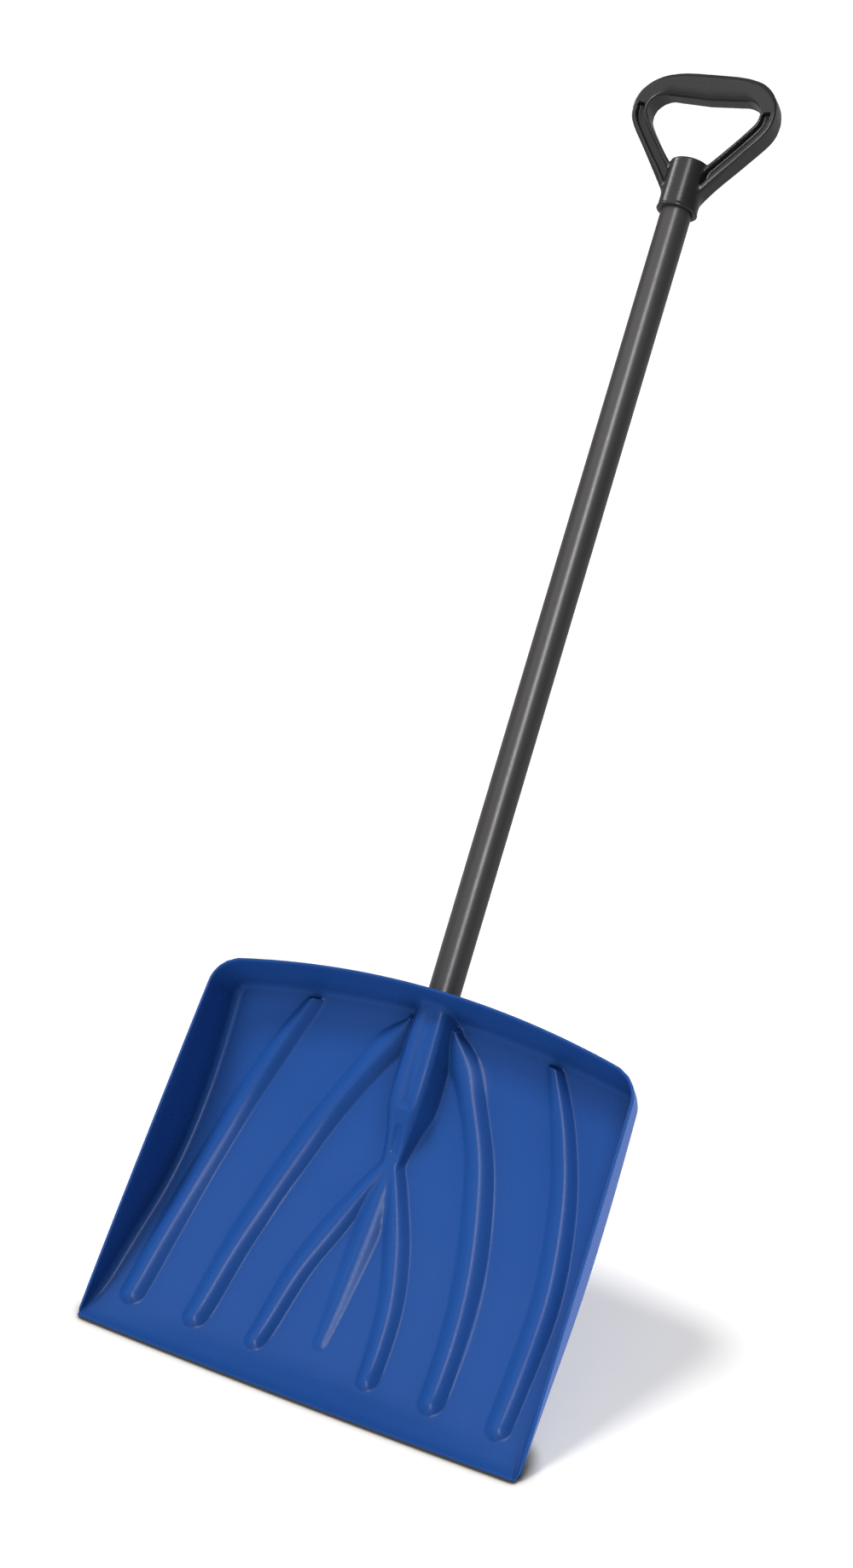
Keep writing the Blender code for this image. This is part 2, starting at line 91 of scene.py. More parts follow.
RIB_HEIGHT = 0.0078
SECOND_EXTRA = 0.0010              # the second pair of ribs stands this much higher
MIDDLE_HEIGHTS = ((0.045, 0.003), (0.173, 0.007))  # (height, raise) of the middle rib
RIB_CROWN = 0.50                   # roundness of a rib's crown, as a share of its half width
RIB_FOOT = 0.0007                  # softening of the crease at a rib's foot
RIB_BLEND = 0.0012                 # where ribs meet each other
BACK_CROWN = 0.45                  # roundness of the crowns on the back of the scoop
BACK_FOOT = 0.0012                 # softening of the creases there
BACK_LIFT = 0.93                   # height of the ribs there, as a share of that in front

GRIP_SET = 0.0024                  # the D behind the shaft's axis
GRIP_FROM = 1.1832                 # lower rim of the collar
COLLAR_R = 0.0200
COLLAR_TO = 1.2345

SCREW_R = 0.0021
SCREW_HEAD_R = 0.0046
SCREW_HEAD_H = 0.0026
HEAD_EDGE = 0.42                   # height of the head's edge, as a share of the whole
SCREW_SEAT = 0.0003                # gap under the head
SHANK_LENGTH = 0.0095
SHANK_TIP = 0.0118                 # the tapered tip ends this deep
TIP_SHARE = 0.45                   # and is this share of the shank's radius there
RECESS_HALF = 0.00055              # half width of the cross recess
RECESS_REACH = 0.0024              # from its middle to the end of an arm
RECESS_SLOPE = 0.00035             # width of its slanted sides
RECESS_DEPTH = 0.0013
BLADE_SCREWS = (0.3500, 0.3000)    # heights of the scoop's two screws
GRIP_SCREW = 1.2030                # height of the grip's screw

# (height, depth) of the panel's face at its sides and along its middle
SIDE_PROFILE = ((EDGE_LIP, -0.0009), (0.026, 0.0167), (0.079, 0.0410), (0.147, 0.0715),
                (0.217, 0.0860), (0.300, 0.0880), (0.390, 0.0810))
MIDDLE_PROFILE = ((EDGE_LIP, -0.0009), (0.026, 0.0275), (0.050, 0.0420), (0.112, 0.0610),
                  (0.179, 0.0775), (0.260, 0.0900), (0.390, 0.0870))

# ribs: (height, distance from the middle, half width)
OUTER_RIB = ((0.037, 0.1900, 0.0136), (0.100, 0.1880, 0.0146), (0.150, 0.1845, 0.0149),
             (0.200, 0.1762, 0.0152), (0.250, 0.1645, 0.0148), (0.300, 0.1474, 0.0138),
             (0.340, 0.1300, 0.0102), (0.352, 0.1245, 0.0070))
SECOND_RIB = ((0.037, 0.1227, 0.0138), (0.100, 0.1172, 0.0152), (0.150, 0.1083, 0.0163),
              (0.200, 0.0951, 0.0168), (0.250, 0.0784, 0.0164), (0.300, 0.0543, 0.0172),
              (0.325, 0.0405, 0.0205), (0.341, 0.0300, 0.0160), (0.352, 0.0238, 0.0065))
INNER_RIB = ((0.036, 0.0581, 0.0120), (0.100, 0.0492, 0.0140), (0.150, 0.0330, 0.0153),
             (0.200, 0.0120, 0.0125), (0.220, 0.0020, 0.0115))
MIDDLE_RIB = ((0.050, 0.0, 0.0085), (0.100, 0.0, 0.0124), (0.173, 0.0, 0.0155),
              (0.222, 0.0, 0.0125))

# socket bulge: (height, raise above the panel, half width)
BULGE = ((0.216, 0.0070, 0.0120), (0.240, 0.0118, 0.0160), (0.256, 0.0168, 0.0200),
         (0.275, 0.0222, 0.0255), (0.320, 0.0216, 0.0258), (0.380, 0.0197, 0.0235))
BULGE_HALF = 0.0260                # the bulge's section is drawn at this half width
BULGE_FLAT = 0.0070                # half width of its flat front
BULGE_ROUND = 0.0110               # radius beside the flat
BULGE_FLANK = math.radians(62.0)
BULGE_RUN_OUT = 0.020              # it fades into the panel over this height, below its foot
BULGE_BLEND = 0.0022               # where it meets the ribs
BULGE_REACH = 0.060                # the top flange is joined to it and the ribs' ends up to here,
FLANGE_FROM = 0.300                # above this height
FLANGE_BLEND = 0.0030              # softening where they join
# shallow hollows in the bulge's front: (from, to, half width, depth)
BULGE_HOLLOWS = ((0.2725, 0.3640, 0.0062, 0.0012), (0.2290, 0.2560, 0.0034, 0.0014))
HOLLOW_CORNER = 0.0020
HOLLOW_SLOPE = 0.0016              # width of their slanted sides

# D-grip frame, right half, from the collar to the middle of the bar:
# (x, height, width in the plane, depth)
GRIP_PATH = ((0.0080, 1.1994, 0.0158, 0.0224), (0.0230, 1.2218, 0.0184, 0.0228),
             (0.0438, 1.2483, 0.0160, 0.0236), (0.0610, 1.2711, 0.0160, 0.0244),
             (0.0657, 1.2800, 0.0158, 0.0246), (0.0669, 1.2890, 0.0158, 0.0248),
             (0.0665, 1.2935, 0.0160, 0.0250), (0.0636, 1.3018, 0.0174, 0.0252),
             (0.0560, 1.3104, 0.0202, 0.0254), (0.0448, 1.3164, 0.0248, 0.0256),
             (0.0300, 1.3181, 0.0284, 0.0256), (0.0, 1.3178, 0.0304, 0.0256))


# ---------------------------------------------------------------- helpers
def curve(points, t, column=1):
    """Smooth curve through (t, value, ...) rows, flat outside its ends. t may be an array."""
    xs = np.array([row[0] for row in points])
    ys = np.array([row[column] for row in points])
    slopes = np.empty(len(xs))
    slopes[1:-1] = (ys[2:] - ys[:-2]) / (xs[2:] - xs[:-2])
    slopes[0] = (ys[1] - ys[0]) / (xs[1] - xs[0])
    slopes[-1] = (ys[-1] - ys[-2]) / (xs[-1] - xs[-2])
    t = np.clip(t, xs[0], xs[-1])
    k = np.clip(np.searchsorted(xs, t, side="right") - 1, 0, len(xs) - 2)
    width = xs[k + 1] - xs[k]
    u = (t - xs[k]) / width
    a = 2 * u ** 3 - 3 * u ** 2 + 1
    b = u ** 3 - 2 * u ** 2 + u
    c = u ** 3 - u ** 2
    return a * ys[k] + b * width * slopes[k] + (1 - a) * ys[k + 1] + c * width * slopes[k + 1]


def smooth_max(a, b, blend):
    """The larger of two values, with a soft change from one to the other."""
    near = np.maximum(blend - np.abs(a - b), 0.0) / blend
    return np.maximum(a, b) + near * near * blend / 4


def unit(vectors):
    """The same directions with a length of one."""
    return vectors / np.maximum(np.linalg.norm(vectors, axis=-1, keepdims=True), 1e-12)


def place(points):
    """World position of points given in the shovel's own axes."""
    points = np.asarray(points, dtype=float)
    y = points[..., 1] * math.cos(LEAN) + points[..., 2] * math.sin(LEAN) - EDGE_SET
    z = points[..., 2] * math.cos(LEAN) - points[..., 1] * math.sin(LEAN)
    return np.stack([points[..., 0], y, z], axis=-1)


def add_mesh(name, verts, faces, material, slot, sharp=40.0):
    """A smooth-shaded piece on the shovel's one body."""
    mesh = bpy.data.meshes.new(name)
    mesh.from_pydata([tuple(v) for v in verts], [], [tuple(int(i) for i in f) for f in faces])
    mesh.validate()
    mesh.materials.append(material)
    mesh.shade_smooth()
    mesh.set_sharp_from_angle(angle=math.radians(sharp))
    made = bpy.data.objects.new(name, mesh)
    bpy.context.scene.collection.objects.link(made)
    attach(made, "root")
    return made


def grid_faces(index, flip=False):
    """Quads between the neighbours of a 2-D array of vertex numbers."""
    a = index[:-1, :-1].ravel()
    b = index[:-1, 1:].ravel()
    c = index[1:, 1:].ravel()
    d = index[1:, :-1].ravel()
    return np.stack([a, d, c, b] if flip else [a, b, c, d], axis=1)


def vertex_normals(verts, faces):
    """Normal of each vertex of a mesh of quads, the mean of its faces' normals."""
    corners = verts[faces]
    normals = np.cross(corners[:, 2] - corners[:, 0], corners[:, 3] - corners[:, 1])
    out = np.zeros_like(verts)
    for k in range(4):
        np.add.at(out, faces[:, k], normals)
    return unit(out)


def revolve(profile, segments, centre_y):
    """Vertices and faces of a closed profile turned about the shaft's direction."""
    angles = np.arange(segments) * 2 * math.pi / segments
    rings = []
    for radius, height in profile:
        rings.append(np.stack([radius * np.cos(angles), centre_y + radius * np.sin(angles),
                               np.full(segments, height)], axis=1))
    verts = np.concatenate(rings)
    index = np.arange(len(verts)).reshape(len(profile), segments)
    index = np.concatenate([index, index[:, :1]], axis=1)
    index = np.concatenate([index, index[:1]], axis=0)
    return verts, grid_faces(index)


# ---------------------------------------------------------------- materials
def node(tree, kind, **values):
    """A shader node with some of its settings and input values."""
    made = tree.nodes.new(kind)
    for name, value in values.items():
        if hasattr(made, name):
            setattr(made, name, value)
        else:
            made.inputs[name.replace("_", " ")].default_value = value
    return made


def plastic(name, dark, light, roughness, grain, bump, painted_shade, shine, stretch=(1.0, 1.0, 1.0)):
    """Moulded plastic: slow colour drift, painted shade darkening its hollows, fine grain in gloss and a
    faint unevenness.
    """
    made = bpy.data.materials.new(name)
    made.use_nodes = True
    tree = made.node_tree
    shader = tree.nodes["Principled BSDF"]
    link = tree.links.new
    where = node(tree, "ShaderNodeTexCoord")
    scale = node(tree, "ShaderNodeMapping")
    scale.inputs["Scale"].default_value = stretch
    link(where.outputs["Object"], scale.inputs["Vector"])
    drift = node(tree, "ShaderNodeTexNoise", Scale=7.0, Detail=3.0)
    link(scale.outputs["Vector"], drift.inputs["Vector"])
    colour = node(tree, "ShaderNodeValToRGB")
    colour.color_ramp.elements[0].position = 0.35
    colour.color_ramp.elements[0].color = (*dark, 1.0)
    colour.color_ramp.elements[1].position = 0.65
    colour.color_ramp.elements[1].color = (*light, 1.0)
    link(drift.outputs["Fac"], colour.inputs["Fac"])
    # painted shade: the base colour is darkened where ambient occlusion finds hollows and creases
    crevice_ao = node(tree, "ShaderNodeAmbientOcclusion", samples=10, Distance=0.025)
    shade = node(tree, "ShaderNodeMapRange")
    shade.inputs["From Min"].default_value = 0.45
    shade.inputs["From Max"].default_value = 1.0
    shade.inputs["To Min"].default_value = 1.0 - painted_shade
    link(crevice_ao.outputs["AO"], shade.inputs["Value"])
    shaded_colour = node(tree, "ShaderNodeVectorMath", operation="SCALE")
    link(colour.outputs["Color"], shaded_colour.inputs[0])
    link(shade.outputs["Result"], shaded_colour.inputs["Scale"])
    link(shaded_colour.outputs["Vector"], shader.inputs["Base Color"])
    fine = node(tree, "ShaderNodeTexNoise", Scale=grain, Detail=4.0)
    link(scale.outputs["Vector"], fine.inputs["Vector"])
    gloss = node(tree, "ShaderNodeMapRange")
    gloss.inputs["From Min"].default_value = 0.3
    gloss.inputs["From Max"].default_value = 0.7
    gloss.inputs["To Min"].default_value = roughness - 0.04
    gloss.inputs["To Max"].default_value = roughness + 0.04
    link(fine.outputs["Fac"], gloss.inputs["Value"])
    link(gloss.outputs["Result"], shader.inputs["Roughness"])
    rise = node(tree, "ShaderNodeBump", Strength=0.10, Distance=bump)
    link(fine.outputs["Fac"], rise.inputs["Height"])
    link(rise.outputs["Normal"], shader.inputs["Normal"])
    shader.inputs["IOR"].default_value = 1.48
    shader.inputs["Specular IOR Level"].default_value = shine
    return made


def metal(name, colour, roughness):
    """Plated or drawn steel: fine streaks in its gloss."""
    made = bpy.data.materials.new(name)
    made.use_nodes = True
    tree = made.node_tree
    shader = tree.nodes["Principled BSDF"]
    link = tree.links.new
    shader.inputs["Base Color"].default_value = (*colour, 1.0)
    shader.inputs["Metallic"].default_value = 1.0
    where = node(tree, "ShaderNodeTexCoord")
    streak = node(tree, "ShaderNodeTexNoise", Scale=900.0, Detail=3.0)
    link(where.outputs["Object"], streak.inputs["Vector"])
    gloss = node(tree, "ShaderNodeMapRange")
    gloss.inputs["To Min"].default_value = roughness - 0.08
    gloss.inputs["To Max"].default_value = roughness + 0.08
    link(streak.outputs["Fac"], gloss.inputs["Value"])
    link(gloss.outputs["Result"], shader.inputs["Roughness"])
    return made


BLUE = plastic("scoop blue", dark=(0.0180, 0.090, 0.360), light=(0.0196, 0.095, 0.374),
               roughness=0.30, grain=420.0, bump=0.00002, painted_shade=0.60, shine=0.24)
SLEEVE = plastic("shaft resin", dark=(0.060, 0.056, 0.056), light=(0.067, 0.063, 0.063),
                 roughness=0.34, grain=700.0, bump=0.00004, painted_shade=0.30, shine=0.95,
                 stretch=(1.0, 1.0, 0.15))
BLACK = plastic("grip black", dark=(0.024, 0.023, 0.022), light=(0.030, 0.029, 0.028),
                roughness=0.28, grain=600.0, bump=0.00002, painted_shade=0.40, shine=0.70)
STEEL = metal("core steel", (0.56, 0.56, 0.57), roughness=0.34)
ZINC = metal("screw zinc", (0.62, 0.62, 0.60), roughness=0.28)


# ---------------------------------------------------------------- shape of the scoop
def rib_raise(x, z, table, height, crown, foot):
    """Raise of one rib: straight flanks, a narrow crown, a soft foot and domed ends."""
    centre = curve(table, z, 1)
    half = curve(table, z, 2)
    along = np.maximum(table[0][0] - z, 0.0) + np.maximum(z - table[-1][0], 0.0)
    t = np.hypot(x - centre, along) / half
    ridge = (np.sqrt(t * t + crown * crown) - crown) / (math.sqrt(1 + crown * crown) - crown)
    flank = height * (1.0 - ridge)
    return 0.5 * (flank + np.sqrt(flank * flank + foot * foot))


def bulge_raise(x, z):
    """Raise of the socket bulge: a flat front, rounded shoulders and steep flanks."""
    s = np.abs(x) * BULGE_HALF / curve(BULGE, z, 2)
    turn_to = BULGE_FLAT + BULGE_ROUND * math.sin(BULGE_FLANK)
    bent = np.clip(s - BULGE_FLAT, 0.0, turn_to - BULGE_FLAT)
    drop = BULGE_ROUND - np.sqrt(BULGE_ROUND ** 2 - bent ** 2)
    drop = drop + np.maximum(s - turn_to, 0.0) * math.tan(BULGE_FLANK)
    full = BULGE_ROUND * (1 - math.cos(BULGE_FLANK)) + (BULGE_HALF - turn_to) * math.tan(BULGE_FLANK)
    below = np.clip((BULGE[0][0] - z) / BULGE_RUN_OUT, 0.0, 2.0)
    sunk = 0.0
    for low, high, half, depth in BULGE_HOLLOWS:
        aside = np.maximum(np.abs(x) - half + HOLLOW_CORNER, 0.0)
        along = np.maximum(np.maximum(low - z, z - high) + HOLLOW_CORNER, 0.0)
        outside = np.hypot(aside, along) - HOLLOW_CORNER
        sunk = sunk + depth * np.clip(0.5 - outside / HOLLOW_SLOPE, 0.0, 1.0)
    return curve(BULGE, z, 1) * (1.0 - drop / full - below) - sunk


def panel_depth(x, z):
    """Depth of the scoop's face, without ribs."""
    side = curve(SIDE_PROFILE, z)
    middle = curve(MIDDLE_PROFILE, z)
    return side + (middle - side) * (1.0 - (x / BLADE_HALF) ** 2)


def raised(x, z, crown, foot):
    """How far the ribs and the bulge stand in front of the panel."""
    side = np.abs(x)
    total = rib_raise(side, z, OUTER_RIB, RIB_HEIGHT, crown, foot)
    for table, height in ((SECOND_RIB, RIB_HEIGHT + SECOND_EXTRA), (INNER_RIB, RIB_HEIGHT),
                          (MIDDLE_RIB, curve(MIDDLE_HEIGHTS, z))):
        total = smooth_max(total, rib_raise(side, z, table, height, crown, foot), RIB_BLEND)
    return smooth_max(total, bulge_raise(side, z), BULGE_BLEND)


def half_width(z):
    """Half width of the scoop at a height, one wall inside its outside."""
    return BLADE_HALF - BLADE_WALL - BLADE_TAPER * z


def rounding(beyond):
    """How far a corner of the panel is drawn in, up to its diagonal."""
    s = np.clip(beyond, 0.0, PANEL_CORNER * math.sqrt(0.5))
    return PANEL_CORNER - np.sqrt(PANEL_CORNER ** 2 - s * s)


def wall_depth(z):
    """How far the side wall stands in front of the panel."""
    return np.maximum(curve(SIDE_PROFILE, z) - RIM_SLOPE * z, 0.0)


def crease_half(z):
    """Half width of the panel, where the side walls start."""
    side_top = CREASE_TOP - CREASE_ARCH * PANEL_SIDE ** 2
    drawn_in = rounding(z - side_top + PANEL_CORNER)
    return half_width(z) - RIM_SET - WALL_FLARE * wall_depth(z) - drawn_in


def crease_height(x):
    """Height of the panel's upper border, where the top flange starts."""
    return CREASE_TOP - CREASE_ARCH * x * x - rounding(x - PANEL_SIDE + PANEL_CORNER)


def inset(z):
    """Width of the panel's strip that belongs to the fillet."""
    return np.minimum(FILLET, FILLET_SHARE * wall_depth(z) + FILLET_LEAST)


def rim_height(x):
    """Height of the arched rim."""
    return RIM_TOP - RIM_ARCH * x * x


def rib_edge(table, sign):
    """A rib's left edge (-1), its middle (0) or its right edge (1), as (height, distance) rows."""
    return [(row[0], row[1] + sign * row[2]) for row in table]


# lines that run up the right half of the panel along its ribs: (height, distance)
COLUMN_LINES = (
    ((0.0, 0.0), (1.0, 0.0)),
    ((0.045, 0.0080), (0.173, 0.0150), (0.222, 0.0070), (0.290, 0.0105)),
    ((0.036, 0.0467), (0.100, 0.0362), (0.150, 0.0200), (0.180, 0.0165),
     (0.222, 0.0085), (0.290, 0.0165)),
    ((0.036, 0.0581), (0.100, 0.0494), (0.150, 0.0335), (0.190, 0.0195),
     (0.222, 0.0105), (0.290, 0.0215)),
    ((0.036, 0.0695), (0.100, 0.0626), (0.150, 0.0490), (0.200, 0.0270),
     (0.225, 0.0145), (0.280, 0.0262), (0.364, 0.0240)),
    ((0.037, 0.1099), (0.150, 0.0939), (0.200, 0.0791), (0.250, 0.0626),
     (0.300, 0.0378), (0.330, 0.0295), (0.364, 0.0280)),
    ((0.037, 0.1231), (0.150, 0.1089), (0.200, 0.0951), (0.250, 0.0784),
     (0.300, 0.0543), (0.335, 0.0385), (0.364, 0.0330)),
    ((0.037, 0.1363), (0.150, 0.1239), (0.200, 0.1111), (0.250, 0.0942),
     (0.300, 0.0708), (0.340, 0.0480), (0.364, 0.0390)),
    rib_edge(OUTER_RIB, -1),
    rib_edge(OUTER_RIB, 0),
    rib_edge(OUTER_RIB, 1),
)
COLUMN_STEPS = (7, 6, 9, 9, 8, 9, 9, 8, 9, 9, 9)
EVEN_SHARE = 0.35                  # of the columns' spacing; the rest crowds them towards the lines
# rows up the middle of the panel: (from, to, steps)
ROW_STEPS = ((EDGE_LIP, 0.0200, 10), (0.0200, 0.0480, 26), (0.0480, 0.2000, 38),
             (0.2000, 0.2850, 48), (0.2850, 0.3400, 22), (0.3400, CREASE_TOP, 22))
ROW_SIDE = 0.2105                  # the rows' outer heights are taken at this distance
GRID_ROUNDS = 4                    # rows and columns depend on each other, and settle in these
RIM_SIDE_POINTS = 400
RIM_CORNER_POINTS = 60
RIM_TOP_POINTS = 300
FILLET_STEPS = 6
WALL_STEPS = 5
LIP_STEPS = 5


def panel_rows():
    """Heights of the panel's rows along its middle."""
    heights = [ROW_STEPS[0][0]]
    for low, high, count in ROW_STEPS:
        for n in range(1, count + 1):
            heights.append(low + (high - low) * n / count)
    return np.array(heights)


def side_limit(z, edge):
    """Half width of the panel at a height, less the fillet's strip times edge."""
    return crease_half(z) - edge * inset(z)


def top_limit(x, edge):
    """Height of the panel's upper border, less the fillet's strip times edge."""
    return crease_height(x) - edge * FILLET


def panel_grid(edge):
    """Right half of the panel's grid: x, z and each row's share of the height.

    With edge 1 the grid stops short of the fillets, and with edge 0 it ends at the creases.
    """
    rows = panel_rows()
    share = (rows - rows[0]) / (rows[-1] - rows[0])
    low = rows[0]
    z = np.repeat(rows[:, None], sum(COLUMN_STEPS) + 1, axis=1)
    side_z = low + (top_limit(ROW_SIDE, edge) - low) * share
    for _ in range(GRID_ROUNDS):
        columns = [np.zeros(len(rows))]
        at = 0
        for k, count in enumerate(COLUMN_STEPS):
            left = curve(COLUMN_LINES[k], z[:, at])
            if k + 1 < len(COLUMN_LINES):
                right = curve(COLUMN_LINES[k + 1], z[:, at + count])
            else:
                right = side_limit(side_z, edge)
            for n in range(1, count + 1):
                crowded = 0.5 * (1 - math.cos(math.pi * n / count))
                s = EVEN_SHARE * n / count + (1 - EVEN_SHARE) * crowded
                columns.append(left + (right - left) * s)
            at += count
        x = np.stack(columns, axis=1)
        z = low + (top_limit(x, edge) - low) * share[:, None]
    return x, z, share


def rim_curve():
    """Points of the right half of the rim, from the floor to the middle of the top."""
    x = half_width(RIM_SIDE_TOP)
    top = rim_height(x)
    low = np.linspace(EDGE_LIP, top - RIM_CORNER, RIM_SIDE_POINTS)
    drawn_in = (x - half_width(top - RIM_CORNER)) * (low / low[-1]) ** 8
    side = np.stack([half_width(low) + drawn_in, low], axis=1)
    s = np.linspace(0.0, 1.0, RIM_CORNER_POINTS)[1:, None]
    a = (1.0 - s) ** 2
    b = 2.0 * RIM_CORNER_WEIGHT * s * (1.0 - s)
    c = s ** 2
    start = np.array([x, top - RIM_CORNER])
    middle = np.array([x, top])
    end = np.array([x - RIM_CORNER, rim_height(x - RIM_CORNER)])
    corner = (start * a + middle * b + end * c) / (a + b + c)
    across = np.linspace(end[0], 0.0, RIM_TOP_POINTS)[1:]
    return np.concatenate([side, corner, np.stack([across, rim_height(across)], axis=1)])


def rim_points(crease, corner):
    """Rim point for each (x, height) of the crease's right half, fanned evenly round its corner."""
    rim = rim_curve()
    steps = np.concatenate([[0.0], np.cumsum(np.linalg.norm(np.diff(rim, axis=0), axis=1))])
    sharpest = np.argmin(np.linalg.norm(rim - np.array(RIM_CORNER_AT), axis=1))
    corner_x, corner_z = crease[corner]
    reach = RIM_CORNER_REACH
    up = slice(0, RIM_SIDE_POINTS)
    across = slice(RIM_SIDE_POINTS + RIM_CORNER_POINTS, None)
    out = []
    for k, (x, z) in enumerate(crease):
        if k <= corner:
            far = corner_z - z
            at = np.interp(z, rim[up, 1], steps[up])
            base = np.interp(corner_z - reach, rim[up, 1], steps[up])
            side = 1.0
        else:
            far = corner_x - x
            at = np.interp(-x, -rim[across, 0], steps[across])
            base = np.interp(reach - corner_x, -rim[across, 0], steps[across])
            side = -1.0
        if far < reach:
            p = 1.0 - far / reach
            length = abs(steps[sharpest] - base)
            first = reach / length
            at = base + side * length * (first * p + (1.0 - first) * p * p)
        height = np.interp(at, steps, rim[:, 1])
        out.append((np.interp(at, steps, rim[:, 0]), RIM_SLOPE * height, height))
    return np.array(out)


def perimeter(grid):
    """Outer vertices of the right half of a panel grid, up its side and along its top."""
    return np.concatenate([grid[:, -1], grid[-1, -2::-1]])


def scoop_sheet(crown, foot, lift):
    """Front face of the scoop: (panel grid, wall grid), both from left to right."""
    x, z, share = panel_grid(1.0)
    y = panel_depth(x, z) - lift * raised(x, z, crown, foot)
    bow = EDGE_BOW * (x / BLADE_HALF) ** 2 * (1.0 - share[:, None]) ** 3
    bow = np.stack([np.zeros_like(bow), bow * math.cos(LEAN), bow * math.sin(LEAN)], axis=-1)
    panel = np.stack([x, y, z], axis=-1) + bow
    inner = perimeter(np.stack([x, panel_depth(x, z), z], axis=-1))
    wide_x, wide_z, _ = panel_grid(0.0)
    crease = perimeter(np.stack([wide_x, panel_depth(wide_x, wide_z), wide_z], axis=-1))
    rim = rim_points(crease[:, [0, 2]], len(x) - 1)
    length = np.linalg.norm(rim - crease, axis=1, keepdims=True)
    fillet = np.linalg.norm(inner - crease, axis=1, keepdims=True)
    bend_to = crease + unit(rim - crease) * np.minimum(fillet, FILLET_SHARE * length)
    walls = []
    for n in range(1, FILLET_STEPS + 1):
        s = n / FILLET_STEPS
        walls.append(inner * (1 - s) ** 2 + crease * 2 * s * (1 - s) + bend_to * s * s)
    for n in range(1, WALL_STEPS + 1):
        walls.append(bend_to + (rim - bend_to) * n / WALL_STEPS)
    wall = np.stack(walls, axis=1)
    wall_x = wall[..., 0]
    wall_z = wall[..., 2]
    front = panel_depth(wall_x, wall_z) - lift * raised(wall_x, wall_z, crown, foot)
    pulled = -smooth_max(-wall[..., 1], -front, FLANGE_BLEND)
    by_bulge = (wall_z > FLANGE_FROM) & (wall_x < BULGE_REACH)
    wall[..., 1] = np.where(by_bulge, pulled, wall[..., 1])
    wall = wall + perimeter(bow)[:, None, :]
    mirror = np.array([-1.0, 1.0, 1.0])
    panel = np.concatenate([panel[:, :0:-1] * mirror, panel], axis=1)
    wall = np.concatenate([wall * mirror, wall[-2::-1]], axis=0)
    return panel, wall


def scoop_mesh():
    """Closed solid of the scoop: front face, back face one wall behind it, rounded rim between."""
    panel, wall = scoop_sheet(RIB_CROWN, RIB_FOOT, 1.0)
    soft_panel, soft_wall = scoop_sheet(BACK_CROWN, BACK_FOOT, BACK_LIFT)
    plain_panel, plain_wall = scoop_sheet(BACK_CROWN, BACK_FOOT, 0.0)
    count = panel.shape[0] * panel.shape[1]
    index = np.arange(count).reshape(panel.shape[:2])
    ring = np.concatenate([index[:, 0], index[-1, 1:], index[-2::-1, -1]])
    wall_index = count + np.arange(wall.shape[0] * wall.shape[1]).reshape(wall.shape[:2])
    wall_index = np.concatenate([ring[:, None], wall_index], axis=1)
    front_faces = np.concatenate([grid_faces(index), grid_faces(wall_index, True)])

    def joined(a, b):
        return np.concatenate([a.reshape(-1, 3), b.reshape(-1, 3)])

    front = place(joined(panel, wall))
    plain = place(joined(plain_panel, plain_wall))
    normals = vertex_normals(plain, front_faces)
    back = place(joined(soft_panel, soft_wall)) - normals * BLADE_WALL
    back[:, 2] = np.maximum(back[:, 2], 0.0)
    edge_row = np.concatenate([wall_index[0, ::-1], index[0, 1:], wall_index[-1, 1:]])
    back[edge_row] = front[edge_row]
    back[edge_row, 2] = 0.0
    loop = np.concatenate([edge_row, wall_index[-2:0:-1, -1]])
    total = len(front)
    step = front[np.roll(loop, -1)] - front[np.roll(loop, 1)]
    outward = unit(np.cross(step, normals[loop]))
    middle = (front[loop] + back[loop]) / 2
    half = (front[loop] - back[loop]) / 2
    radius = np.linalg.norm(half, axis=1, keepdims=True)
    front[loop] -= outward * radius
    back[loop] -= outward * radius
    back[:, 2] = np.maximum(back[:, 2], 0.0)
    lips = []
    for n in range(1, LIP_STEPS):
        turn = math.pi * n / LIP_STEPS
        outer = outward * radius * (math.sin(turn) - 1.0)
        lips.append(middle + half * math.cos(turn) + outer)
    verts = np.concatenate([front, back] + lips)
    behind = verts[:, 1] + EDGE_SET - EDGE_BOW * (verts[:, 0] / BLADE_HALF) ** 2
    lift = LIP_RISE * (1.0 - np.clip(behind / LIP_REACH, 0.0, 1.0)) ** 2
    verts[:, 2] = np.maximum(verts[:, 2], 0.0) + np.where(verts[:, 2] < LIP_BELOW, lift, 0.0)
    rings = [loop]
    for n in range(LIP_STEPS - 1):
        rings.append(2 * total + n * len(loop) + np.arange(len(loop)))
    rings.append(total + loop)
    rings = np.array(rings)
    rings = np.concatenate([rings, rings[:, :1]], axis=1)
    faces = np.concatenate([front_faces, total + front_faces[:, ::-1], grid_faces(rings, True)])
    return verts, faces


blade = add_mesh("scoop", *scoop_mesh(), BLUE, "blue_plastic", 60.0)
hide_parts("blade")

# ---------------------------------------------------------------- socket behind the scoop
socket_profile = [(BORE_R, SOCKET_FROM + SOCKET_FLOOR), (AXIS_GAP, SOCKET_FROM + SOCKET_FLOOR),
                  (AXIS_GAP, SOCKET_FROM), (SOCKET_R - 0.0030, SOCKET_FROM),
                  (SOCKET_R - 0.0010, SOCKET_FROM + 0.0008), (SOCKET_R, SOCKET_FROM + 0.0030),
                  (SOCKET_R, SOCKET_TO - 0.0010), (SOCKET_R - 0.0008, SOCKET_TO),
                  (BORE_R + 0.0006, SOCKET_TO), (BORE_R, SOCKET_TO - 0.0005)]
verts, faces = revolve(socket_profile, 72, SHAFT_Y + SOCKET_SET)
add_mesh("scoop_socket", place(verts), faces, BLUE, "blue_plastic")

